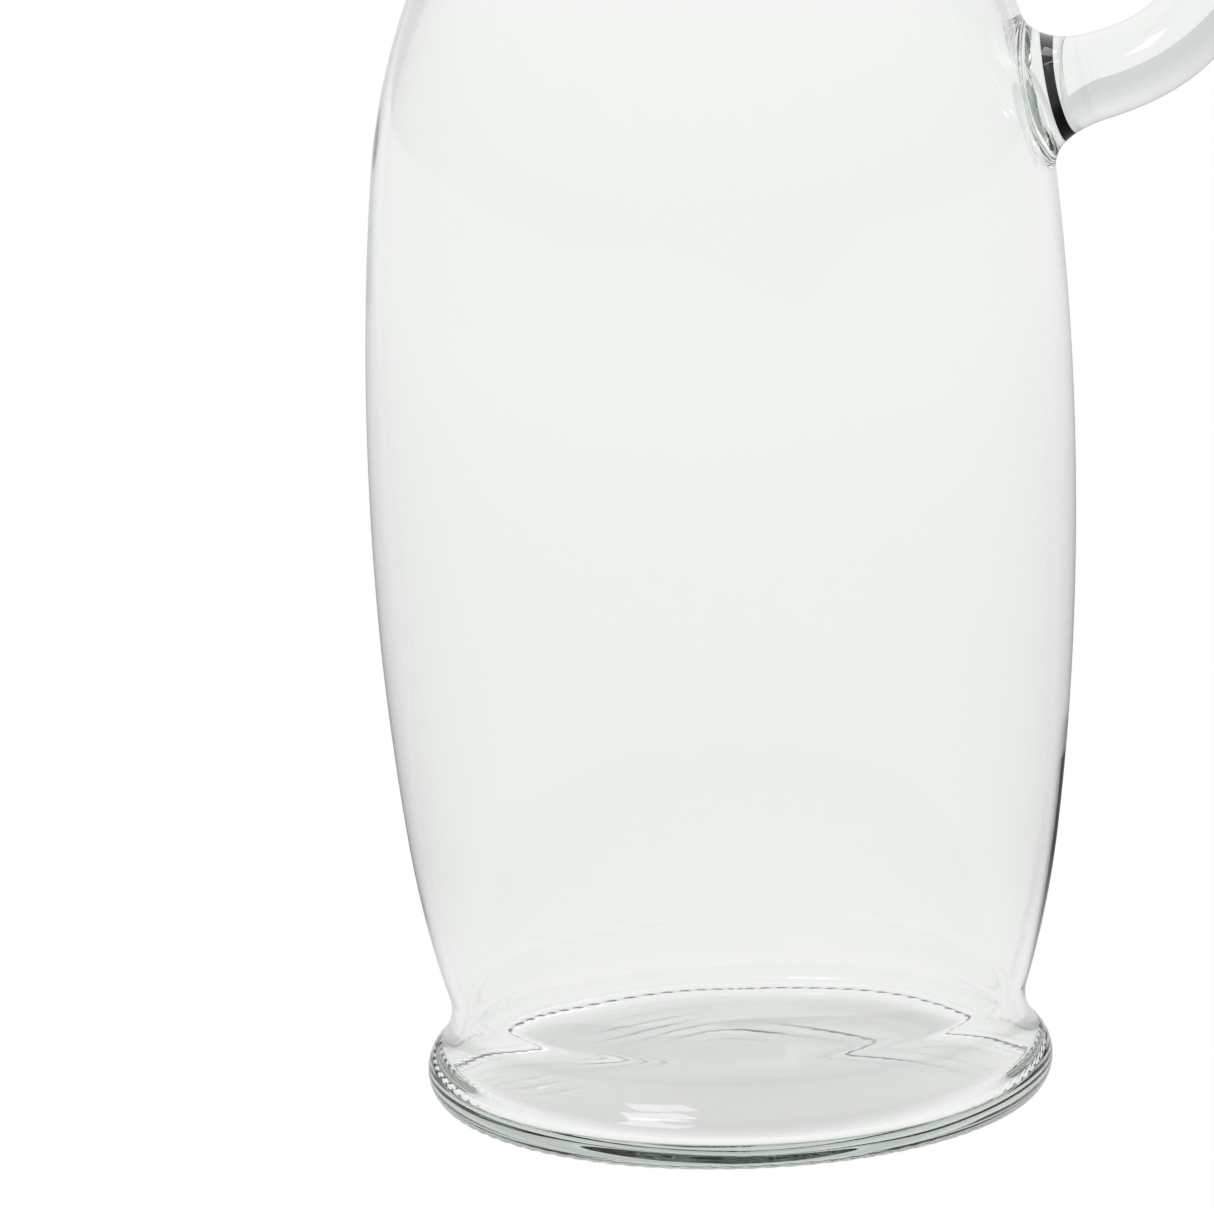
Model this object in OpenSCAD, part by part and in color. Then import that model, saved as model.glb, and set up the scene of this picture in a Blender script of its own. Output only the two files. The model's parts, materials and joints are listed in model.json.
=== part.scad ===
// Two-litre glass growler: a moulded barrel-shaped bottle with a pinched waist
// above its foot, a solid glass side handle and a swing-top closure.
// Millimetres, +Z up, origin on the bottle's axis in the plane it stands on.
// +X points to the handle, -X to the closure's lever, -Y is the front.

/* [Bottle] */
// Radius of the ring that the bottle stands on, at its outer edge
base_r = 51.4; // [49:0.1:53]
// Radius of the round edge between the standing ring and the foot
heel_r = 2.4; // [1.5:0.1:3]
// Radius of the foot's bulge in section
foot_r = 5.6; // [5.2:0.1:6]
// Radius of the hollow between foot and barrel in section
waist_r = 9.9; // [9.4:0.1:10.4]
// Radius of the lower shoulder curve in section
shoulder_r = 113; // [110:1:116]
// Thickness of the glass wall
wall = 2.9; // [2:0.1:3.2]
// Height of the floor's edge inside
floor_z = 3.6; // [3:0.1:4.5]
// Height of the floor's middle inside
punt_z = 7.6; // [5:0.1:8]
// Radius of the mouth's bore
bore_r = 12; // [11:0.1:12.5]

/* [Mouth and neck] */
// Height of the mouth's rim
rim_z = 290; // [289.5:0.1:291]
// Outer radius of the lip
lip_r = 17.5; // [17:0.1:18]
// Radius of the groove that holds the neck band
groove_r = 16.6; // [16:0.1:16.6]
// Outer radius of the bead under the groove
bead_r = 19.4; // [18.5:0.1:19.5]

/* [Handle] */
// Half the width of the handle across the bottle
handle_half_w = 10; // [8:0.5:11]
// Half the thickness of the handle
handle_half_t = 7; // [6:0.5:7.5]
// Lean of the handle towards the neck, degrees
handle_lean = 10; // [8:1:12]

/* [Closure] */
// Height of the lever's pivot
pivot_z = 266; // [265.5:0.1:266.5]
// Distance from the lever's pivot to the eye that holds the bail
eye_drop = 12; // [11:0.1:12]
// Height of the hole through the stopper
hole_z = 300; // [299:0.1:301]
// Diameter of the lever's wire
lever_d = 3; // [2.6:0.1:3]
// Diameter of the bail's wire
bail_d = 2.5; // [2:0.1:2.6]
// Distance of the lever's arms from the middle
lever_y = 21.5; // [21.5:0.05:21.6]
// Distance of the bail's arms from the middle
bail_y = 26.6; // [26.5:0.1:28]
// Radius of the stopper's flange
stopper_r = 15.2; // [14:0.1:15.5]

/* [Hidden] */
$fn = 64;

// Outline of the body as headings: a move is [radius, turn], where a positive
// turn is to the left, or [0, length] for a straight stretch. A point is
// [distance from the axis, height], and heading 0 points away from the axis.
start_heading = 50;
foot_turn = 85;
waist_turn = -62;
push_up = 4.2;
neck_taper = 96;
barrel_moves = [[170, 9.4], [493, 6.3], [519, 6.9], [shoulder_r, 25.8], [75, 20.3],
    [13, -45.7], [0, 17.3]];
foot_moves = [[foot_r, foot_turn], [waist_r, waist_turn]];
inner_foot_turn = 135;
inner_waist_r = 11.3;
arc_steps = 8;
section_sides = 24;

lever_r = lever_d / 2;
bail_r = bail_d / 2;
stud_r = 2.2;
stud_gap = 0.2;
eye_gap = 0.45;
pivot_ring_r = stud_r + stud_gap + lever_r;
eye_ring_r = bail_r + eye_gap + lever_r;
eye_z = pivot_z - eye_drop;
thumb_lean = 52;
thumb_l = 36;
band_gap = 0.1;
band_t = 1;
band_z0 = pivot_z - 4.4;
band_h = 8.8;
ear_inner_y = 1.6;
ear_x = 27;
clamp_x = 22.8;
screw_r = 1.5;
seal_gap = 0.1;
seal_h = 3.5;
nose_r = 7.3;

function turned(p, h, r, a) = let (s = sign(a))
    [p[0] + s * r * (sin(h + a) - sin(h)), p[1] + s * r * (cos(h) - cos(h + a))];

// Points along one move, without its first, from point p at heading h.
function along(p, h, move, t) = move[0] == 0
    ? [p + move[1] * [cos(h), sin(h)]]
    : let (r = move[0] - sign(move[1]) * t)
        [for (i = [1:arc_steps]) turned(p, h, r, move[1] * i / arc_steps)];

// The whole outline of a list of moves, t inside the surface.
function walk(p, h, moves, t = 0, i = 0) = i == len(moves) ? []
    : let (step = along(p, h, moves[i], t),
           turn = moves[i][0] == 0 ? 0 : moves[i][1])
        concat(step, walk(step[len(step) - 1], h + turn, moves, t, i + 1));

function arc(c, r, from, to, steps = 6) =
    [for (i = [0:steps]) c + r * [cos(from + (to - from) * i / steps),
                                  sin(from + (to - from) * i / steps)]];

heel_end = [base_r + heel_r * sin(start_heading), heel_r * (1 - cos(start_heading))];
heel = arc([base_r, heel_r], heel_r, -90, start_heading - 90);
foot_and_barrel = walk(heel_end, start_heading, concat(foot_moves, barrel_moves));
finish = concat(
    [[bead_r - 1.6, 256.1]],
    arc([bead_r - 2, 258.4], 2, -70, 70),
    [[groove_r, 261], [groove_r, 271], [lip_r, 272]],
    arc([lip_r - 2, rim_z - 2], 2, 0, 90),
    arc([bore_r + 2, rim_z - 2], 2, 90, 180));
outer_outline = concat(
    [[0, push_up], [24, 0.8 * push_up], [40, 0.3 * push_up], [47.5, 0]],
    heel, foot_and_barrel, finish);

// The inner wall starts where its foot and waist arcs end at the same heading
// as the outer ones, one wall's thickness inside.
barrel_start = walk(heel_end, start_heading, foot_moves)[2 * arc_steps - 1];
barrel_heading = inner_foot_turn + waist_turn;
inner_start = barrel_start + wall * [-sin(barrel_heading), cos(barrel_heading)];
inner_rise = inner_waist_r * (cos(barrel_heading) - cos(inner_foot_turn));
inner_foot_r = (inner_start[1] - floor_z - inner_rise) / (1 - cos(inner_foot_turn));
inner_foot_x = inner_start[0] - inner_foot_r * sin(inner_foot_turn)
    + inner_waist_r * (sin(barrel_heading) - sin(inner_foot_turn));
inner_foot = walk([inner_foot_x, floor_z], 0,
    [[inner_foot_r, inner_foot_turn], [inner_waist_r, waist_turn]]);
inner_barrel = walk(inner_start, barrel_heading, barrel_moves, wall);
inner_neck = walk(inner_barrel[len(inner_barrel) - 1], neck_taper, [[6, 40], [6, -46]]);
inner_outline = concat([[0, punt_z], [16, punt_z - 0.4], [30, punt_z - 1.5]],
    [[inner_foot_x, floor_z]], inner_foot, inner_barrel, inner_neck,
    [[bore_r, 265], [bore_r, rim_z - 2]]);

module bottle_glass() {
    color([0.86, 0.92, 0.90, 0.45])
    rotate_extrude($fn = 128)
    polygon(concat(outer_outline,
        [for (i = [len(inner_outline) - 2:-1:0]) inner_outline[i]]));
}

// What the bottle would be if it were solid, for trimming the handle to it.
module solid_body() {
    rotate_extrude($fn = 128) polygon(concat(outer_outline, [[0, rim_z]]));
}

module handle_section(offset_x = 0) {
    polygon([for (i = [0:section_sides - 1])
        [offset_x + handle_half_t * cos(i * 360 / section_sides),
         handle_half_w * sin(i * 360 / section_sides)]]);
}

// A quarter bend of the handle round centre c, starting at angle a0.
module handle_bend(c, r, a0) {
    translate([c[0], 0, c[1]])
    rotate([90, 0, 0])
    rotate([0, 0, a0])
    rotate_extrude(angle = 90, $fn = 96) handle_section(r);
}

// A straight of the handle from point p, along X when turn is 90, up when 0.
module handle_bar(p, turn, length) {
    translate([p[0], 0, p[1]])
    rotate([0, turn, 0])
    linear_extrude(length) handle_section();
}

module side_handle() {
    elbow_r = 26;
    top_r = 24;
    lower_l = 20;
    back_l = 30;
    top_l = 36;
    top_x = lower_l + elbow_r - top_r;
    top_z = elbow_r + back_l + top_r;
    color([0.86, 0.92, 0.90, 0.45])
    difference() {
        translate([48, 0, 172])
        rotate([0, -handle_lean, 0])
        union() {
            handle_bar([0, 0], 90, lower_l);
            handle_bend([lower_l, elbow_r], elbow_r, -90);
            handle_bar([lower_l + elbow_r, elbow_r], 0, back_l);
            handle_bend([top_x, elbow_r + back_l], top_r, 0);
            handle_bar([top_x - top_l, top_z], 90, top_l);
        }
        solid_body();
    }
}

module neck_band() {
    r0 = groove_r + band_gap;
    color("silver")
    difference() {
        union() {
            translate([0, 0, band_z0])
            difference() {
                cylinder(r = r0 + band_t, h = band_h, $fn = 96);
                translate([0, 0, -1]) cylinder(r = r0, h = band_h + 2, $fn = 96);
                translate([0, -ear_inner_y, -1]) cube([30, 2 * ear_inner_y, band_h + 2]);
            }
            for (s = [-1, 1])
                translate([r0 + band_t / 2, s * (ear_inner_y + band_t / 2) - band_t / 2, band_z0])
                cube([ear_x - r0 - band_t / 2, band_t, band_h]);
        }
        translate([clamp_x, 10, pivot_z])
            rotate([90, 0, 0]) cylinder(r = screw_r + 0.2, h = 20);
        for (s = [0, 180])
            rotate([0, 0, s]) translate([0, -14, pivot_z])
            rotate([90, 0, 0]) cylinder(r = stud_r - 0.1, h = 10);
    }
}

module band_screw() {
    head_r = 2.9;
    head_h = 2.1;
    y0 = ear_inner_y + band_t;
    color("gainsboro")
    translate([clamp_x, 0, pivot_z])
    rotate([-90, 0, 0])
    difference() {
        union() {
            translate([0, 0, -y0]) cylinder(r = screw_r, h = 2 * y0 + 3.6);
            translate([0, 0, -y0 - head_h]) cylinder(r = head_r, h = head_h);
        }
        translate([-head_r - 1, -0.4, -y0 - head_h - 1]) cube([2 * head_r + 2, 0.8, 1.9]);
    }
}

module band_nut() {
    y0 = ear_inner_y + band_t;
    color("gainsboro")
    translate([clamp_x, y0, pivot_z])
    rotate([-90, 0, 0])
    difference() {
        cylinder(r = 3.2, h = 2.4, $fn = 6);
        translate([0, 0, -1]) cylinder(r = screw_r + 0.05, h = 5, $fn = 32);
    }
}

// Riveted stud that the lever turns on, at the front when side is -1.
module pivot_stud(side) {
    band_outer = groove_r + band_gap + band_t;
    boss_y = lever_y - lever_r - 0.2;
    head_y = lever_y + lever_r + 0.3;
    color("silver")
    translate([0, 0, pivot_z])
    rotate([-90 * side, 0, 0]) {
        translate([0, 0, band_outer - 0.8]) cylinder(r = stud_r - 0.2, h = 1);
        translate([0, 0, band_outer + 0.05])
            cylinder(r = 3.2, h = boss_y - band_outer - 0.05);
        translate([0, 0, band_outer + 0.1])
            cylinder(r = stud_r, h = head_y - band_outer);
        translate([0, 0, head_y]) cylinder(r = 3.8, h = 1.5);
    }
}

module rod(p, q, r) {
    d = q - p;
    translate(p)
    rotate([0, acos(d[2] / norm(d)), atan2(d[1], d[0])])
    cylinder(r = r, h = norm(d), $fn = 24);
}

function unit(v) = v / norm(v);
function set_back(a, b, c, bend) =
    bend * tan(acos(unit(b - a) * unit(c - b)) / 2);

// A round wire along points, with bends of radius bend at those between.
module wire(points, r, bend) {
    n = len(points) - 1;
    back = [for (i = [0:n]) i == 0 || i == n ? 0
        : set_back(points[i - 1], points[i], points[i + 1], bend)];
    for (i = [0:n - 1]) {
        d = unit(points[i + 1] - points[i]);
        rod(points[i] + back[i] * d, points[i + 1] - back[i + 1] * d, r);
    }
    for (i = [1:n - 1]) {
        d0 = unit(points[i] - points[i - 1]);
        d1 = unit(points[i + 1] - points[i]);
        inward = unit(d1 - d0 * (d0 * d1));
        x = -inward;
        z = cross(x, d0);
        c = points[i] - back[i] * d0 + bend * inward;
        multmatrix([[x[0], d0[0], z[0], c[0]], [x[1], d0[1], z[1], c[1]],
                    [x[2], d0[2], z[2], c[2]], [0, 0, 0, 1]])
        rotate_extrude(angle = acos(d0 * d1), $fn = 48)
        translate([bend, 0]) circle(r = r, $fn = 24);
    }
}

module eye(ring_r, y, z) {
    translate([0, y, z])
    rotate([90, 0, 0])
    rotate_extrude($fn = 48) translate([ring_r, 0]) circle(r = lever_r, $fn = 24);
}

// A thumb loop hangs from the two eyes, and leans out over the shoulder.
module lever_wire() {
    loop_r = lever_r - 0.1;
    color("silver") {
        for (s = [-1, 1]) {
            eye(pivot_ring_r, s * lever_y, pivot_z);
            eye(eye_ring_r, s * lever_y, eye_z);
            translate([0, s * lever_y, eye_z + eye_ring_r])
                cylinder(r = loop_r, h = eye_drop - eye_ring_r - pivot_ring_r);
        }
        translate([0, 0, eye_z])
        rotate([0, thumb_lean, 0])
        wire([[0, -lever_y, -eye_ring_r], [0, -lever_y, -thumb_l],
              [0, lever_y, -thumb_l], [0, lever_y, -eye_ring_r]], loop_r, 6);
    }
}

module bail_wire() {
    pin_y = 19.75;
    color("silver")
    wire([[0, -pin_y, eye_z], [0, -bail_y, eye_z], [0, -bail_y, hole_z],
          [0, bail_y, hole_z], [0, bail_y, eye_z], [0, pin_y, eye_z]], bail_r, 3);
}

module stopper() {
    flange_z = rim_z + seal_gap + seal_h;
    nose_z = rim_z - 3;
    color("ivory")
    difference() {
        rotate_extrude($fn = 96)
        polygon(concat(
            [[0, nose_z], [nose_r - 0.9, nose_z]],
            arc([nose_r - 0.7, nose_z + 1.2], 1.2, -80, 30, 4),
            [[nose_r, rim_z + seal_gap - 0.2], [nose_r, flange_z],
             [stopper_r - 0.8, flange_z]],
            arc([stopper_r - 1.6, flange_z + 1.6], 1.6, -60, 80, 6),
            arc([stopper_r - 0.4, flange_z + 6.2], 3, -110, -180, 5),
            arc([4.4, hole_z + 1.4], 7, 5, 60, 6),
            [[4, hole_z + 7.9], [0, hole_z + 8.2]]));
        translate([0, 20, hole_z])
            rotate([90, 0, 0]) cylinder(r = bail_r + 0.35, h = 40, $fn = 32);
    }
}

module gasket() {
    z0 = rim_z + seal_gap;
    color("orangered")
    rotate_extrude($fn = 96)
    polygon([[nose_r, z0], [13.2, z0], [14.2, z0 + 1], [14.2, z0 + seal_h],
             [nose_r, z0 + seal_h]]);
}

bottle_glass();
side_handle();
neck_band();
band_screw();
band_nut();
pivot_stud(-1);  // pivot_stud_front
pivot_stud(1);  // pivot_stud_back
lever_wire();
bail_wire();
stopper();
gasket();
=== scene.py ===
"""Looks of the growler: one fused glass body with its handle, formed wires, strap, stopper and
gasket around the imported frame. Sizes are millimetres unless a name says otherwise, and the
outlines repeat the arcs of the CAD part."""

import json
import math

import bmesh
import bpy
import numpy as np
from mathutils import Matrix


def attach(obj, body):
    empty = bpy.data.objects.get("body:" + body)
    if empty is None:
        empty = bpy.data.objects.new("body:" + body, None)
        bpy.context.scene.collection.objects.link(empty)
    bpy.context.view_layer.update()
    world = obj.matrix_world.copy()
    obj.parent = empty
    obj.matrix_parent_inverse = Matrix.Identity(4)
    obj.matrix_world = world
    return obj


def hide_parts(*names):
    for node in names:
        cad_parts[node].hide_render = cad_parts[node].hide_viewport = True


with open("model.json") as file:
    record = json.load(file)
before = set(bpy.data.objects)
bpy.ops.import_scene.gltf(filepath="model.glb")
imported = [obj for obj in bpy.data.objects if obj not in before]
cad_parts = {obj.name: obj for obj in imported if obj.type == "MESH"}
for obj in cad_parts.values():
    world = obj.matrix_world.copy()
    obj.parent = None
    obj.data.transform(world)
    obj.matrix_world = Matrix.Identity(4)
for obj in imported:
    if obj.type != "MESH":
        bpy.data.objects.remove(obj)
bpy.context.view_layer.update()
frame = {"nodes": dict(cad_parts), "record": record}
MM = 0.001
scene = bpy.context.scene


def sin(a):
    return math.sin(math.radians(a))


def cos(a):
    return math.cos(math.radians(a))


# ---------------------------------------------------------------- outlines

BASE_R, HEEL_R, START = 51.4, 2.4, 50
RING_IN = 47.5
PUSH_UP = 4.2
WALL, FLOOR_Z, PUNT_Z = 2.9, 3.6, 7.6
RIM_Z, LIP_R, GROOVE_R, BEAD_R, BORE_R = 290, 17.5, 16.6, 19.4, 12
PIVOT_Z, EYE_Z, HOLE_Z = 266, 254, 300
FOOT = [(5.6, 85), (9.9, -62)]
BARREL = [(170, 9.4), (493, 6.3), (519, 6.9), (113, 25.8), (75, 20.3), (13, -45.7), (0, 17.3)]


def walk(p, heading, moves, inset=0.0):
    """Points along a chain of arcs (radius, turn) and straights (0, length)."""
    out = []
    for radius, turn in moves:
        if radius == 0:
            n = 20
            out += [(p[0] + turn * k / n * cos(heading), p[1] + turn * k / n * sin(heading))
                    for k in range(1, n + 1)]
        else:
            s = 1 if turn > 0 else -1
            r = radius - s * inset
            n = max(8, int(abs(turn) * r * 0.0175 / 0.4))
            for k in range(1, n + 1):
                a = heading + turn * k / n
                out.append((p[0] + s * r * (sin(a) - sin(heading)),
                            p[1] + s * r * (cos(heading) - cos(a))))
            heading += turn
        p = out[-1]
    return out


def filleted(corners):
    """A polyline of (x, y, radius) corners, each rounded with an arc."""
    out = []
    for i, (x, y, r) in enumerate(corners):
        p = np.array((x, y))
        if r == 0:
            out.append((x, y))
            continue
        a = np.array(corners[i - 1][:2]) - p
        b = np.array(corners[i + 1][:2]) - p
        a, b = a / np.linalg.norm(a), b / np.linalg.norm(b)
        half = math.acos(np.clip(a @ b, -1, 1)) / 2
        middle = (a + b) / np.linalg.norm(a + b)
        centre = p + middle * r / math.sin(half)
        start, end = p + a * r / math.tan(half), p + b * r / math.tan(half)
        for t in np.linspace(0, 1, 9):
            q = start + (end - start) * t - centre
            out.append(tuple(centre + q / np.linalg.norm(q) * r))
    return out


def by_length(points):
    """A function from distance along a polyline to its point, and the whole length."""
    pts = np.array(points, float)
    s = np.concatenate([[0], np.cumsum(np.linalg.norm(np.diff(pts, axis=0), axis=1))])
    return (lambda d: np.stack([np.interp(d, s, pts[:, k]) for k in range(pts.shape[1])], -1)), s, pts


heel_end = (BASE_R + HEEL_R * sin(START), HEEL_R * (1 - cos(START)))
under = [(r, PUSH_UP * (1 + math.cos(math.pi * r / RING_IN)) / 2) for r in np.linspace(0.05, RING_IN, 40)]
heel = [(BASE_R + HEEL_R * cos(a), HEEL_R + HEEL_R * sin(a)) for a in np.linspace(-90, START - 90, 12)]
body = walk(heel_end, START, FOOT + BARREL)
finish = filleted([(*body[-1], 0), (17.8, 256.3, 0.6), (BEAD_R, 256.5, 1.8), (BEAD_R, 260.4, 1.8),
                   (GROOVE_R, 260.9, 0.5), (GROOVE_R, 271.3, 0.5), (LIP_R, 272.2, 0.5), (LIP_R, RIM_Z, 2.0),
                   (BORE_R, RIM_Z, 2.0), (BORE_R, 265, 0)])
split = next(i for i, p in enumerate(finish) if p[1] > RIM_Z - 0.001)
outer_pts = under + heel + body + finish[1:split + 1]

foot_end = walk(heel_end, START, FOOT)[-1]
turn_in, lean = 135, START + 85 - 62
inner_start = (foot_end[0] - WALL * sin(lean), foot_end[1] + WALL * cos(lean))
waist_in = 11.3
foot_in = (inner_start[1] - FLOOR_Z - waist_in * (cos(lean) - cos(turn_in))) / (1 - cos(turn_in))
foot_x = inner_start[0] - foot_in * sin(turn_in) + waist_in * (sin(lean) - sin(turn_in))
inner_barrel = walk(inner_start, lean, BARREL, WALL)
inner_pts = [(r, FLOOR_Z + (PUNT_Z - FLOOR_Z) * (1 + math.cos(math.pi * r / foot_x)) / 2)
             for r in np.linspace(0.05, foot_x, 40)]
inner_pts += walk((foot_x, FLOOR_Z), 0, [(foot_in, turn_in), (waist_in, -62)]) + inner_barrel
inner_pts += walk(inner_barrel[-1], 96, [(6, 40), (6, -46)]) + [(BORE_R, 265)]
inner_pts += list(reversed(finish[split + 1:-1]))

outer_at, outer_s, outer_xy = by_length(outer_pts)
inner_at, inner_s, inner_xy = by_length(inner_pts)


def rows(s, xy, step_at):
    """Distances along an outline, closer together where step_at says."""
    out, d = [], 0.0
    while d < s[-1]:
        out.append(d)
        r, z = np.interp(d, s, xy[:, 0]), np.interp(d, s, xy[:, 1])
        d += step_at(r, z)
    if s[-1] - out[-1] < 0.2:
        out.pop()
    return np.array(out + [s[-1]])


def outer_step(r, z):
    if r < 45 and z < PUSH_UP + 0.1:
        return 2.0
    if z < 24:
        return 0.45
    return 1.5 if z < 234 else (0.9 if z < 255.5 else 0.35)


outer_rows = rows(outer_s, outer_xy, outer_step)
inner_rows = rows(inner_s, inner_xy, lambda r, z: (2.0 if r < 44 else 0.6) if z < 24 else 1.6)

# ---------------------------------------------------------------- handle

HANDLE_W, HANDLE_T = 10.0, 7.0
LEAN = 10
HANDLE_X, HANDLE_Z = 48, 172
ELBOW_R, TOP_R, LOWER_L, BACK_L, TOP_L = 26, 24, 20, 30, 36


def handle_path():
    """The middle line of the handle in the XZ plane, from the shoulder to the neck."""
    top_x, top_z = LOWER_L + ELBOW_R - TOP_R, ELBOW_R + BACK_L + TOP_R
    pts = [(x, 0) for x in np.arange(0, LOWER_L, 0.5)]
    pts += [(LOWER_L + ELBOW_R * cos(a), ELBOW_R + ELBOW_R * sin(a)) for a in np.linspace(-90, 0, 80)]
    pts += [(LOWER_L + ELBOW_R, z) for z in np.arange(ELBOW_R + 0.5, ELBOW_R + BACK_L, 0.5)]
    pts += [(top_x + TOP_R * cos(a), ELBOW_R + BACK_L + TOP_R * sin(a)) for a in np.linspace(0, 90, 80)]
    pts += [(x, top_z) for x in np.arange(top_x - 0.5, top_x - TOP_L, -0.5)]
    at, s, _ = by_length(pts)
    d = np.arange(0, s[-1], 0.5)
    p = at(d)
    smooth = p.copy()
    for k in range(len(p)):
        w = min(k, len(p) - 1 - k, 22)
        smooth[k] = p[k - w:k + w + 1].mean(axis=0)
    c, s_ = cos(LEAN), sin(LEAN)
    return np.stack([HANDLE_X + smooth[:, 0] * c - smooth[:, 1] * s_,
                     HANDLE_Z + smooth[:, 0] * s_ + smooth[:, 1] * c], -1)


# ---------------------------------------------------------------- glass body

SECTORS = 576
HALF_COLS, HALF_ROWS = 36, 12
LOWER_BLEND, UPPER_BLEND = 9.5, 7.0
BLEND_STEPS, BLEND_PULL, INWARD = 14, 1.1, 0.96
STIPPLES = 96
STIPPLE_DEPTH = 0.2
OUTER_ROW_R, INNER_ROW_R, ROW_W = 52.6, 50.2, 0.7


def smoothstep(t):
    t = np.clip(t, 0, 1)
    return t * t * (3 - 2 * t)


class Root:
    """Where an end of the handle grows out of the outline: a block of cells that becomes an oval."""

    def __init__(self, z, half_w, half_h, reach):
        outline = outer_at(outer_rows)
        inside_bore = outline[:, 0] < 15
        self.row = int(np.argmin(np.abs(outline[:, 1] - z) + 99 * inside_bore))
        self.s = outer_rows[self.row]
        self.r = outer_at(self.s)[0]
        self.a = HALF_COLS * 2 * math.pi / SECTORS
        self.b = (outer_rows[self.row + HALF_ROWS] - outer_rows[self.row - HALF_ROWS]) / 2
        self.grow_u, self.grow_v = half_w / (self.a * self.r), half_h / self.b
        self.reach = reach

    def warp(self, phi, s):
        u, v = phi / self.a, (s - self.s) / self.b
        m = np.maximum(np.maximum(abs(u), abs(v)), 1e-6)
        e = np.maximum(np.hypot(u, v), 1e-6)
        w = 1 - smoothstep((m - 1) / (self.reach - 1))
        to_oval = 1 + (m / e - 1) * w
        gu, gv = 1 + (self.grow_u - 1) * w, 1 + (self.grow_v - 1) * w
        return phi * to_oval * gu, self.s + (s - self.s) * to_oval * gv


LOWER = Root(173.6, 17.0, 13.5, 2.6)
UPPER = Root(247.0, 13.2, 8.6, 2.3)


def surface(phi, s, at, relief):
    """Points on a surface of revolution, with its relief added along the radius."""
    p = at(s)
    r, z = p[..., 0], p[..., 1]
    dr, dz = relief(phi, r, z)
    r = r + dr
    return np.stack([r * np.cos(phi), r * np.sin(phi), z + dz], -1)


def beads(turn):
    """A row of bumps from 0 to 1, one for each whole turn."""
    return (0.5 + 0.5 * np.cos(2 * math.pi * turn)) ** 2


def outer_relief(phi, r, z):
    """Shallow waves and mould seams along the radius, and the stipple dents under the foot along Z."""
    seam = np.exp(-((np.abs(np.abs(phi) - math.pi / 2) * np.maximum(r, 1)) / 0.5) ** 2)
    seam = seam * (0.05 + 0.05 * np.exp(-(z / 12) ** 2)) * (z > 0.8) * (z < 255)
    turn = phi * STIPPLES / (2 * math.pi)
    under_side = (z < 0.9).astype(float)
    slant = turn - 0.4 * (r - OUTER_ROW_R)
    outer_row = np.exp(-((r - OUTER_ROW_R) / ROW_W) ** 2) * beads(slant)
    inner_row = np.exp(-((r - INNER_ROW_R) / ROW_W) ** 2) * beads(turn + 0.5)
    dent = STIPPLE_DEPTH * under_side * (outer_row + 0.8 * inner_row)
    calm = smoothstep((z - 20) / 20) * (1 - smoothstep((z - 228) / 15))
    wave = 0.05 * calm * np.cos(3 * phi + 0.03 * z + 0.7) * np.cos(0.045 * z + 2 * np.cos(phi))
    return seam * 0.6 - np.abs(wave) - 0.05 * calm, dent


def inner_relief(phi, r, z):
    """The slow unevenness that blowing leaves in the inner wall, along the radius, and in the floor."""
    fade = smoothstep((z - 7) / 14) * (1 - smoothstep((z - 225) / 20))
    wave = (0.16 * np.cos(2 * phi + 0.021 * z + 0.4) + 0.10 * np.cos(5 * phi - 0.034 * z + 1.9)
            + 0.06 * np.cos(9 * phi + 0.05 * z) + 0.08 * np.cos(0.11 * z + np.cos(2 * phi)))
    floor = 0.12 * np.cos(3 * phi + 0.12 * r) * np.clip(r / 30, 0, 1) * (z < 7.5)
    return wave * fade, floor


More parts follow.
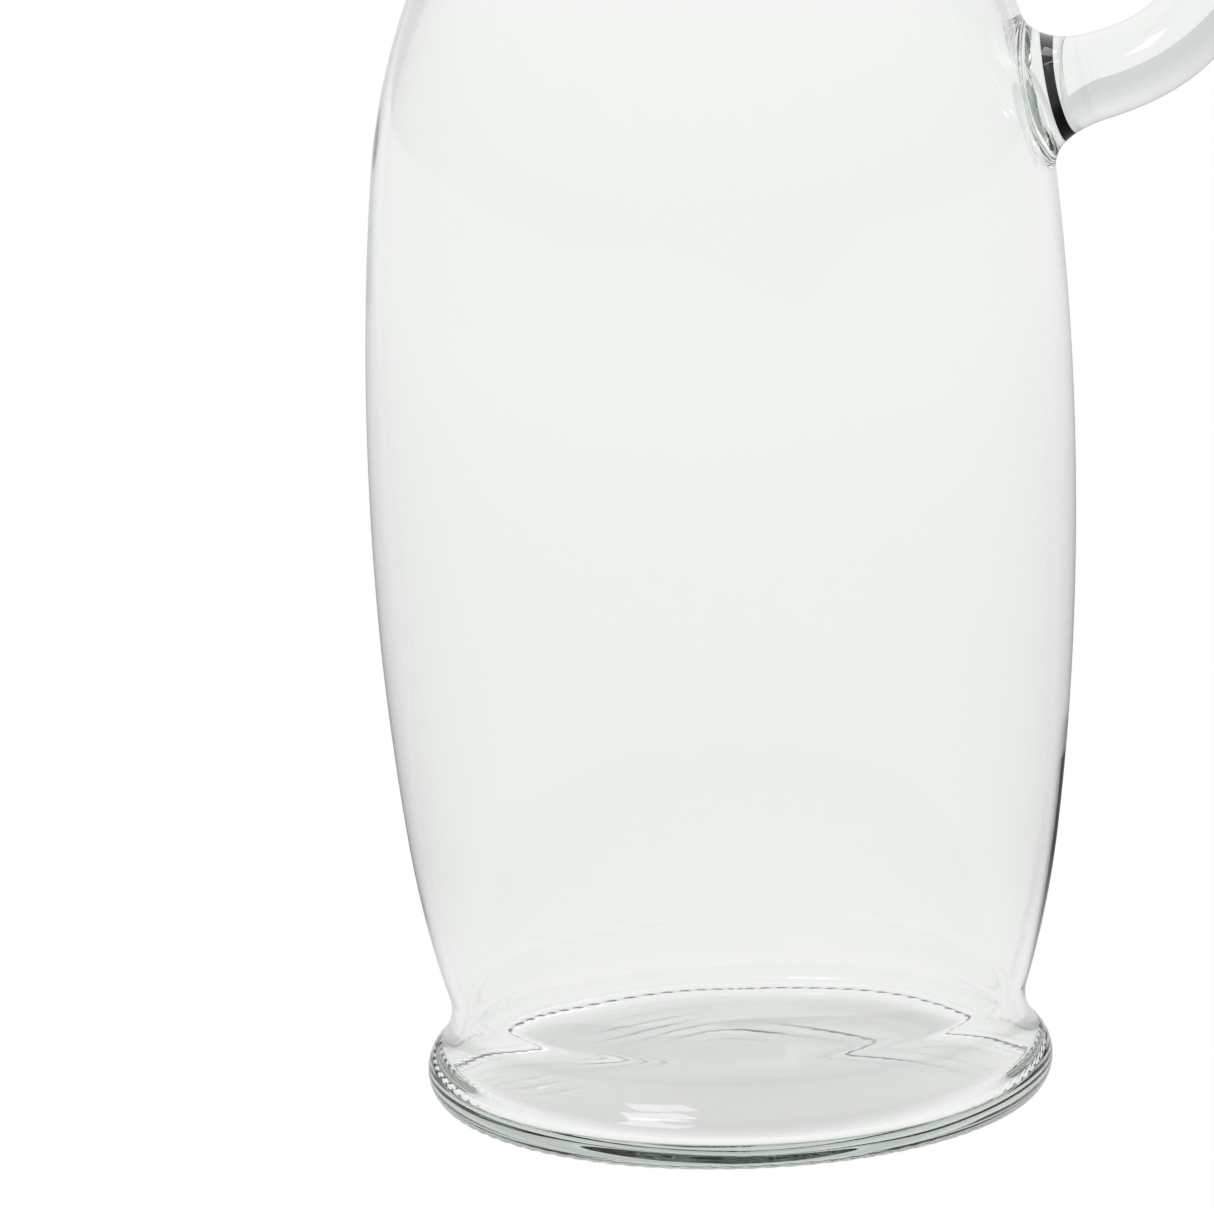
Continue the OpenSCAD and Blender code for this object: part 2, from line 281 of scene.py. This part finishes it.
def glass_mesh():
    verts, faces = [], []
    phi1 = np.arange(SECTORS) * 2 * math.pi / SECTORS
    phi1 = np.where(phi1 > math.pi, phi1 - 2 * math.pi, phi1)

    phi, s = np.meshgrid(phi1, outer_rows)
    for root in (LOWER, UPPER):
        phi, s = root.warp(phi, s)
    grid = surface(phi, s, outer_at, outer_relief)
    n_rows = len(outer_rows)

    def hole(i, j):
        """Whether the vertex at row i and column j is inside a root."""
        cj = j if j < SECTORS / 2 else j - SECTORS
        return any(abs(i - root.row) < HALF_ROWS and abs(cj) < HALF_COLS for root in (LOWER, UPPER))

    def in_hole(i, j):
        """Whether the cell between rows i, i+1 and columns j, j+1 is inside a root."""
        cj = j + 0.5 if j < SECTORS / 2 else j + 0.5 - SECTORS
        return any(abs(i + 0.5 - root.row) < HALF_ROWS and abs(cj) < HALF_COLS for root in (LOWER, UPPER))

    index = -np.ones((n_rows, SECTORS), int)
    for i in range(n_rows):
        for j in range(SECTORS):
            if i == 0 or hole(i, j):
                continue
            index[i, j] = len(verts)
            verts.append(grid[i, j])
    verts.append(np.array([0, 0, PUSH_UP]))
    pole = len(verts) - 1
    for j in range(SECTORS):
        faces.append((pole, index[1, (j + 1) % SECTORS], index[1, j]))
    for i in range(1, n_rows - 1):
        for j in range(SECTORS):
            if not in_hole(i, j):
                k = (j + 1) % SECTORS
                faces.append((index[i, j], index[i, k], index[i + 1, k], index[i + 1, j]))

    phi, s = np.meshgrid(phi1, inner_rows)
    inner = surface(phi, s, inner_at, inner_relief)
    m_rows = len(inner_rows)
    base = len(verts)
    verts.extend(inner[1:].reshape(-1, 3))
    verts.append(np.array([0, 0, PUNT_Z]))
    pole = len(verts) - 1
    for j in range(SECTORS):
        faces.append((pole, base + j, base + (j + 1) % SECTORS))
    for i in range(m_rows - 2):
        for j in range(SECTORS):
            k = (j + 1) % SECTORS
            a, b = base + i * SECTORS, base + (i + 1) * SECTORS
            faces.append((a + j, b + j, b + k, a + k))
    last = base + (m_rows - 2) * SECTORS
    for j in range(SECTORS):
        k = (j + 1) % SECTORS
        faces.append((index[n_rows - 1, j], index[n_rows - 1, k], last + k, last + j))

    # The handle: rings along its middle line, and a strip that blends each end into the body.
    edge = [(HALF_COLS, v) for v in range(-HALF_ROWS, HALF_ROWS)]
    edge += [(u, HALF_ROWS) for u in range(HALF_COLS, -HALF_COLS, -1)]
    edge += [(-HALF_COLS, v) for v in range(HALF_ROWS, -HALF_ROWS, -1)]
    edge += [(u, -HALF_ROWS) for u in range(-HALF_COLS, HALF_COLS)]
    angle = np.array([math.atan2(v / HALF_ROWS, u / HALF_COLS) for u, v in edge])
    path = handle_path()
    tangent = np.gradient(path, axis=0)
    tangent /= np.linalg.norm(tangent, axis=1)[:, None]
    first = int(np.argmax(path[:, 0] > LOWER.r + LOWER_BLEND))
    last_k = len(path) - 1 - int(np.argmax(path[::-1, 0] > UPPER.r + UPPER_BLEND))
    keep = list(range(first, last_k, 3)) + [last_k]
    rings = []
    for k in keep:
        (x, z), (tx, tz) = path[k], tangent[k]
        to_end = min(k - first, last_k - k) * 0.5
        swell = 1 + 0.05 * math.exp(-to_end / 8)
        w = HANDLE_W * swell * np.cos(angle)
        t = HANDLE_T * swell * np.sin(angle)
        rings.append(np.stack([x - tz * t, w, z + tx * t], -1))

    def add(points):
        start = len(verts)
        verts.extend(points)
        return list(range(start, start + len(points)))

    def strip(a, b):
        n = len(a)
        for k in range(n):
            faces.append((a[k], a[(k + 1) % n], b[(k + 1) % n], b[k]))

    ring_ids = [add(r) for r in rings]
    for a, b in zip(ring_ids, ring_ids[1:]):
        strip(a, b)
    for root, ids, side in ((LOWER, ring_ids[0], 1), (UPPER, ring_ids[-1], -1)):
        loop = [index[root.row + side * v, u % SECTORS] for u, v in edge]
        p0 = np.array([verts[i] for i in loop])
        k = keep[0] if side == 1 else keep[-1]
        p1 = np.array([verts[i] for i in ids])
        u0 = np.array([u for u, v in edge]) * 2 * math.pi / SECTORS
        v0 = np.array([outer_rows[root.row + side * v] for u, v in edge])
        wu, wv = root.warp(u0, v0)
        near = surface(wu * INWARD, root.s + (wv - root.s) * INWARD, outer_at, outer_relief)
        t0 = near - p0
        t0 /= np.linalg.norm(t0, axis=1)[:, None]
        away = np.array([tangent[k, 0], 0, tangent[k, 1]]) * side
        gap = np.linalg.norm(p1 - p0, axis=1)[:, None]
        prev = loop
        for j in range(1, BLEND_STEPS):
            h = j / BLEND_STEPS
            q = ((2 * h**3 - 3 * h**2 + 1) * p0 + (h**3 - 2 * h**2 + h) * t0 * gap * BLEND_PULL
                 + (3 * h**2 - 2 * h**3) * p1 + (h**3 - h**2) * away * gap * BLEND_PULL)
            ids_here = add(q)
            strip(prev, ids_here)
            prev = ids_here
        strip(prev, ids)
    return np.array(verts) * MM, faces


def new_object(name, verts, faces):
    mesh = bpy.data.meshes.new(name)
    mesh.from_pydata([tuple(v) for v in verts], [], faces)
    mesh.validate()
    mesh.update()
    obj = bpy.data.objects.new(name, mesh)
    scene.collection.objects.link(obj)
    mesh.polygons.foreach_set("use_smooth", [True] * len(mesh.polygons))
    bm = bmesh.new()
    bm.from_mesh(mesh)
    bmesh.ops.recalc_face_normals(bm, faces=bm.faces)
    bm.to_mesh(mesh)
    bm.free()
    return obj


# ---------------------------------------------------------------- materials

def material(name, **sockets):
    m = bpy.data.materials.new(name)
    m.use_nodes = True
    shader = m.node_tree.nodes["Principled BSDF"]
    for key, value in sockets.items():
        shader.inputs[key.replace("_", " ")].default_value = value
    return m, m.node_tree, shader


def noise_bump(tree, shader, scale, stretch, strength, distance, detail=4.0):
    coord = tree.nodes.new("ShaderNodeTexCoord")
    mapping = tree.nodes.new("ShaderNodeMapping")
    mapping.inputs["Scale"].default_value = stretch
    noise = tree.nodes.new("ShaderNodeTexNoise")
    noise.inputs["Scale"].default_value = scale
    noise.inputs["Detail"].default_value = detail
    bump = tree.nodes.new("ShaderNodeBump")
    bump.inputs["Strength"].default_value = strength
    bump.inputs["Distance"].default_value = distance
    tree.links.new(coord.outputs["Object"], mapping.inputs["Vector"])
    tree.links.new(mapping.outputs["Vector"], noise.inputs["Vector"])
    tree.links.new(noise.outputs["Fac"], bump.inputs["Height"])
    tree.links.new(bump.outputs["Normal"], shader.inputs["Normal"])
    return noise


def ramp(tree, source, target, low, high):
    node = tree.nodes.new("ShaderNodeValToRGB")
    node.color_ramp.elements[0].position, node.color_ramp.elements[0].color = low
    node.color_ramp.elements[1].position, node.color_ramp.elements[1].color = high
    tree.links.new(source, node.inputs["Fac"])
    tree.links.new(node.outputs["Color"], target)


def grey(v):
    return (v, v, v, 1)


glass, tree, shader = material("clear_glass", Base_Color=(0.955, 0.962, 0.953, 1), Roughness=0.0,
                               IOR=1.5, Transmission_Weight=1.0)
absorb = tree.nodes.new("ShaderNodeVolumeAbsorption")
absorb.inputs["Color"].default_value = (0.77, 0.81, 0.78, 1)
absorb.inputs["Density"].default_value = 20.0
tree.links.new(absorb.outputs["Volume"], tree.nodes["Material Output"].inputs["Volume"])

steel, tree, shader = material("band_steel", Base_Color=(0.66, 0.66, 0.65, 1), Metallic=1.0, Roughness=0.28)
n = noise_bump(tree, shader, 900, (0.06, 0.06, 1.0), 0.25, 0.0002)
ramp(tree, n.outputs["Fac"], shader.inputs["Roughness"], (0.3, grey(0.2)), (0.75, grey(0.42)))

wire, tree, shader = material("wire_steel", Base_Color=(0.74, 0.74, 0.74, 1), Metallic=1.0, Roughness=0.14)
n = noise_bump(tree, shader, 500, (1, 1, 1), 0.12, 0.0001)
ramp(tree, n.outputs["Fac"], shader.inputs["Roughness"], (0.35, grey(0.1)), (0.7, grey(0.22)))

glaze, tree, shader = material("stopper_ceramic", Base_Color=(0.88, 0.87, 0.83, 1), Roughness=0.08,
                               Coat_Weight=0.5, Coat_Roughness=0.03)
n = noise_bump(tree, shader, 160, (1, 1, 1), 0.10, 0.0003, 3.0)
ramp(tree, n.outputs["Fac"], shader.inputs["Base Color"],
     (0.3, (0.84, 0.83, 0.79, 1)), (0.7, (0.90, 0.89, 0.86, 1)))

rubber, tree, shader = material("gasket_rubber", Base_Color=(0.55, 0.11, 0.06, 1), Roughness=0.6)
n = noise_bump(tree, shader, 1200, (1, 1, 1), 0.35, 0.0002)
ramp(tree, n.outputs["Fac"], shader.inputs["Base Color"],
     (0.3, (0.47, 0.09, 0.05, 1)), (0.7, (0.60, 0.13, 0.08, 1)))


def paint(obj, mat):
    obj.data.materials.clear()
    obj.data.materials.append(mat)
    return obj


def softened(node, mat, slot, width, name):
    """A CAD piece with its sharp edges broken, as tumbling or a mould leaves them."""
    mesh = frame["nodes"][node].data.copy()
    bm = bmesh.new()
    bm.from_mesh(mesh)
    bmesh.ops.remove_doubles(bm, verts=bm.verts, dist=1e-6)
    bmesh.ops.dissolve_limit(bm, angle_limit=math.radians(0.6), verts=bm.verts, edges=bm.edges)
    sharp = [e for e in bm.edges if len(e.link_faces) == 2 and e.calc_face_angle(0) > math.radians(35)]
    bmesh.ops.bevel(bm, geom=sharp, offset=width * MM, segments=3, profile=0.5, affect="EDGES",
                    clamp_overlap=True)
    bmesh.ops.triangulate(bm, faces=bm.faces)
    bm.to_mesh(mesh)
    bm.free()
    mesh.polygons.foreach_set("use_smooth", [True] * len(mesh.polygons))
    mesh.set_sharp_from_angle(angle=math.radians(38))
    obj = bpy.data.objects.new(name, mesh)
    scene.collection.objects.link(obj)
    return keep_piece(paint(obj, mat), slot, node)


def keep_piece(obj, slot, *nodes):
    body = next(b for b, names in frame["record"]["behaviour"]["bodies"].items() if nodes[0] in names)
    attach(obj, body)
    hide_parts(*nodes)
    return obj


def rounded_path(corners, bend, step=0.4):
    """A path through corners in space, each rounded with an arc of radius bend."""
    pts = [np.array(corners[0], float)]
    for a, p, b in zip(corners, corners[1:], corners[2:]):
        a, p, b = (np.array(q, float) for q in (a, p, b))
        ua, ub = (a - p) / np.linalg.norm(a - p), (b - p) / np.linalg.norm(b - p)
        half = math.acos(np.clip(ua @ ub, -1, 1)) / 2
        back = bend / math.tan(half)
        centre = p + (ua + ub) / np.linalg.norm(ua + ub) * bend / math.sin(half)
        start, end = p + ua * back, p + ub * back
        for t in np.linspace(0, 1, 12):
            q = start + (end - start) * t - centre
            pts.append(centre + q / np.linalg.norm(q) * bend)
    pts.append(np.array(corners[-1], float))
    at, s, _ = by_length(pts)
    return at(np.linspace(0, s[-1], max(2, int(s[-1] / step))))


def tube(path, radius, closed=False, sides=28):
    """Vertices and faces of a round wire along a path, with domed ends if it is open."""
    path = np.array(path, float)
    n = len(path)
    tangent = np.roll(path, -1, 0) - np.roll(path, 1, 0) if closed else np.gradient(path, axis=0)
    tangent /= np.linalg.norm(tangent, axis=1)[:, None]
    normal = np.cross(tangent[0], (0.31, 0.52, 0.79))
    frames = []
    for t in tangent:
        normal = normal - t * (normal @ t)
        normal /= np.linalg.norm(normal)
        frames.append((normal, np.cross(t, normal)))
    turn = np.arange(sides) * 2 * math.pi / sides
    stations = [(path[i], frames[i], radius) for i in range(n)]
    if not closed:
        dome = [(0.98, 0.25), (0.86, 0.55), (0.6, 0.82), (0.25, 0.97)]
        head = [(path[0] - tangent[0] * radius * (out - 1) * 0.7, frames[0], radius * r)
                for r, out in reversed(dome)]
        tail = [(path[-1] + tangent[-1] * radius * (out - 1) * 0.7, frames[-1], radius * r)
                for r, out in dome]
        stations = head + stations[1:-1] + tail
    verts = [c + r * (math.cos(a) * f[0] + math.sin(a) * f[1]) for c, f, r in stations for a in turn]
    faces = []
    m = len(stations)
    for i in range(m if closed else m - 1):
        for j in range(sides):
            a, b, k = i * sides, ((i + 1) % m) * sides, (j + 1) % sides
            faces.append((a + j, a + k, b + k, b + j))
    if not closed:
        faces += [tuple(range(sides))[::-1], tuple((m - 1) * sides + j for j in range(sides))]
    return verts, faces


def wire_object(name, tubes, weld):
    """One object from a list of tubes, welded into one skin where they cross if weld is true."""
    verts, faces = [], []
    for v, f in tubes:
        faces += [tuple(i + len(verts) for i in face) for face in f]
        verts += v
    obj = new_object(name, np.array(verts) * MM, faces)
    if weld:
        remesh = obj.modifiers.new("weld", "REMESH")
        remesh.mode, remesh.voxel_size, remesh.use_smooth_shade = "VOXEL", WELD_VOXEL * MM, True
        smooth = obj.modifiers.new("ease", "CORRECTIVE_SMOOTH")
        smooth.smooth_type, smooth.use_only_smooth = "SIMPLE", True
        smooth.iterations, smooth.factor = 8, 0.5
        apply_modifiers(obj)
    return obj


def apply_modifiers(obj):
    """Makes the result of the modifiers the mesh itself."""
    graph = bpy.context.evaluated_depsgraph_get()
    mesh = bpy.data.meshes.new_from_object(obj.evaluated_get(graph))
    obj.modifiers.clear()
    obj.data = mesh
    mesh.polygons.foreach_set("use_smooth", [True] * len(mesh.polygons))


LEVER_Y, BAIL_Y, LEVER_R, BAIL_R = 21.5, 26.6, 1.46, 1.25
PIVOT_RING, EYE_RING = 3.9, 3.2
THUMB_LEAN, THUMB_L, THUMB_BEND = 52, 36, 7.5
PIN_Y, BAIL_BEND = 19.9, 3.6
LEG_THINNER = 0.06
WELD_VOXEL = 0.28


def ring(y, z, radius):
    return [(radius * math.cos(a), y, z + radius * math.sin(a)) for a in np.arange(96) * math.pi / 48]


def lever_tubes():
    down = np.array((-sin(THUMB_LEAN), 0, -cos(THUMB_LEAN)))
    eye = np.array((0, 0, EYE_Z))
    near, far = eye + down * EYE_RING, eye + down * THUMB_L
    side = np.array((0, LEVER_Y, 0))
    thumb = rounded_path([near - side, far - side, far + side, near + side], THUMB_BEND)
    tubes = [tube(thumb, LEVER_R - LEG_THINNER)]
    for y in (-LEVER_Y, LEVER_Y):
        tubes.append(tube(ring(y, PIVOT_Z, PIVOT_RING), LEVER_R, True))
        tubes.append(tube(ring(y, EYE_Z, EYE_RING), LEVER_R, True))
        leg = rounded_path([(0, y, PIVOT_Z - PIVOT_RING), (0, y, EYE_Z + EYE_RING)], 1)
        tubes.append(tube(leg, LEVER_R - LEG_THINNER))
    return tubes


def bail_tubes():
    corners = [(0, -PIN_Y, EYE_Z), (0, -BAIL_Y, EYE_Z), (0, -BAIL_Y, HOLE_Z),
               (0, BAIL_Y, HOLE_Z), (0, BAIL_Y, EYE_Z), (0, PIN_Y, EYE_Z)]
    return [tube(rounded_path(corners, BAIL_BEND, 0.5), BAIL_R)]


keep_piece(paint(wire_object("lever", lever_tubes(), True), wire), "wire_steel", "lever_wire")
keep_piece(paint(wire_object("bail", bail_tubes(), False), wire), "wire_steel", "bail_wire")
softened("neck_band", steel, "band_steel", 0.18, "strap")
softened("band_screw", steel, "band_steel", 0.22, "screw")
softened("band_nut", steel, "band_steel", 0.25, "nut")
softened("pivot_stud_front", steel, "band_steel", 0.3, "stud_front")
softened("pivot_stud_back", steel, "band_steel", 0.3, "stud_back")
softened("stopper", glaze, "stopper_ceramic", 0.35, "stopper_cap")
softened("gasket", rubber, "gasket_rubber", 0.3, "seal")

growler = paint(new_object("growler_glass", *glass_mesh()), glass)
keep_piece(growler, "bottle_glass", "bottle_glass", "side_handle")

# ---------------------------------------------------------------- stage, light and camera

def mapped(tree, source, low, high, to_low, to_high):
    """A smooth change of a number from to_low to to_high as its source goes from low to high."""
    node = tree.nodes.new("ShaderNodeMapRange")
    node.interpolation_type = "SMOOTHSTEP"
    for key, value in zip(("From Min", "From Max", "To Min", "To Max"), (low, high, to_low, to_high)):
        node.inputs[key].default_value = value
    tree.links.new(source, node.inputs["Value"])
    return node.outputs["Result"]


def mixed(tree, factor, a, b):
    """a where factor is 0 and b where it is 1. Either may be a number or a socket."""
    node = tree.nodes.new("ShaderNodeMix")
    tree.links.new(factor, node.inputs["Factor"])
    for key, value in (("A", a), ("B", b)):
        if isinstance(value, (int, float)):
            node.inputs[key].default_value = value
        else:
            tree.links.new(value, node.inputs[key])
    return node.outputs["Result"]


def distance(tree):
    """Distance from the middle of the floor, in metres."""
    where = tree.nodes.new("ShaderNodeNewGeometry")
    length = tree.nodes.new("ShaderNodeVectorMath")
    length.operation = "LENGTH"
    tree.links.new(where.outputs["Position"], length.inputs[0])
    return length.outputs["Value"]


bpy.ops.mesh.primitive_circle_add(vertices=96, radius=7, fill_type="NGON", location=(0, 0, -0.0006))
floor = bpy.context.object
floor.name = "floor"
# The floor has no colour of its own and only glows. Where its glow is dimmed below, that is painted shade
# or painted shadow.
paper, tree, shader = material("floor", Base_Color=(0.0, 0.0, 0.0, 1), Roughness=1.0,
                               Specular_IOR_Level=0.0, Emission_Color=(1, 1, 1, 1))
seen = tree.nodes.new("ShaderNodeLightPath")
# Painted shade seen only in reflections: the glowing floor drops from 0.7 close under the bottle to about
# 0.12 some 0.17 m out, then rises to 0.75 far away.
far = mapped(tree, distance(tree), 0.15, 1.3, 0.12, 0.75)
near = mapped(tree, distance(tree), 0.07, 0.17, 0.0, 1.0)
painted_reflection_shade = mixed(tree, near, 0.7, far)
# Painted shadow under the bottle: for all other rays the glowing floor is dimmed to 0.66 within about 40 mm
# of the middle, reaching full strength by 52 mm.
through = mapped(tree, distance(tree), 0.040, 0.052, 0.66, 1.0)
strength = mixed(tree, seen.outputs["Is Reflection Ray"], through, painted_reflection_shade)
tree.links.new(strength, shader.inputs["Emission Strength"])
floor.data.materials.append(paper)

world = bpy.data.worlds.new("studio")
scene.world = world
world.use_nodes = True
tree = world.node_tree
seen = tree.nodes.new("ShaderNodeLightPath")
sky = tree.nodes.new("ShaderNodeTexCoord")
height = tree.nodes.new("ShaderNodeSeparateXYZ")
tree.links.new(sky.outputs["Generated"], height.inputs["Vector"])
glow = mapped(tree, height.outputs["Z"], 0.0, 0.5, 0.75, 1.05)
strength = mixed(tree, seen.outputs["Is Camera Ray"], glow, 1.0)
tree.links.new(strength, tree.nodes["Background"].inputs["Strength"])
tree.nodes["Background"].inputs["Color"].default_value = (1, 1, 1, 1)


def placed(x, y, z, at):
    """A matrix from three axes and a place."""
    turn = np.stack([x, y, z], 1)
    move = np.array(at, float).reshape(3, 1)
    return Matrix(np.block([[turn, move], [np.zeros((1, 3)), np.ones((1, 1))]]).tolist())


def softbox(name, place, target, size, power):
    data = bpy.data.lights.new(name, "AREA")
    data.shape, data.size, data.size_y, data.energy = "RECTANGLE", *size, power
    obj = bpy.data.objects.new(name, data)
    scene.collection.objects.link(obj)
    d = np.array(target, float) - np.array(place, float)
    z = -d / np.linalg.norm(d)
    x = np.cross((0, 0, 1), z)
    x /= np.linalg.norm(x)
    obj.matrix_world = placed(x, np.cross(z, x), z, place)


softbox("soft_left", (-0.9, -0.9, 1.9), (0, 0, 0.2), (0.8, 0.5), 5)
softbox("soft_back", (0.9, 0.9, 1.7), (0, 0, 0.2), (0.6, 0.6), 3)

PITCH, YAW, ROLL = 12.72, -0.98, -2.01
LENS, CAMERA_AT = 211.64, (0, -1.2, 0.3567)
BOUNCES = 32
look = np.array([sin(YAW) * cos(PITCH), cos(YAW) * cos(PITCH), -sin(PITCH)])
right = np.cross(look, (0, 0, 1))
right /= np.linalg.norm(right)
up = np.cross(right, look)
right, up = right * cos(ROLL) + up * sin(ROLL), up * cos(ROLL) - right * sin(ROLL)
cam_data = bpy.data.cameras.new("camera")
cam_data.sensor_width = 36
cam_data.lens = LENS
cam_data.clip_end = 50
camera = bpy.data.objects.new("camera", cam_data)
scene.collection.objects.link(camera)
camera.matrix_world = placed(right, up, -look, CAMERA_AT)
scene.camera = camera
scene.view_settings.view_transform = "Standard"
# Light reflected inside the glass counts as a glossy bounce.
scene.cycles.max_bounces = BOUNCES
scene.cycles.glossy_bounces = BOUNCES
scene.cycles.transmission_bounces = BOUNCES
